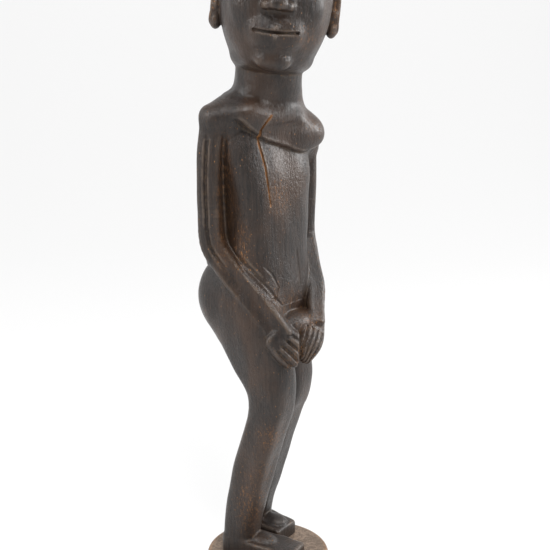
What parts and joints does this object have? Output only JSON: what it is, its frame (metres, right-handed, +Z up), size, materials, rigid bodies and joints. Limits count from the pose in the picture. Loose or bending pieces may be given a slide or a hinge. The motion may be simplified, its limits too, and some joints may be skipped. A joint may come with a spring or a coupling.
{
  "type": "carved ancestor figure",
  "caption": "Standing wooden ancestor figure with bent knees and hands held to the lower belly, head turned to its right, cut with its round base from one block.",
  "frame": {"origin": "centre of the round base's underside", "axes": "+Z up, -Y the way the hips face, +X towards the figure's left hand side"},
  "size_m": [0.0984, 0.0999, 0.5],
  "materials": {
    "figure_wood": "polished dark hardwood with worn edges",
    "base_wood": "rubbed paler hardwood"
  },
  "bodies": {
    "root": {"base": "base_wood", "left_foot": "figure_wood", "right_foot": "figure_wood", "left_lower_leg": "figure_wood", "right_lower_leg": "figure_wood", "left_thigh": "figure_wood", "right_thigh": "figure_wood", "left_ear": "figure_wood", "right_ear": "figure_wood", "left_upper_arm": "figure_wood", "right_upper_arm": "figure_wood", "left_forearm": "figure_wood", "right_forearm": "figure_wood", "left_hand": "figure_wood", "right_hand": "figure_wood", "hips": "figure_wood", "belly": "figure_wood", "chest": "figure_wood", "neck": "figure_wood", "head": "figure_wood", "hair_cap": "figure_wood"}
  },
  "joints": []
}
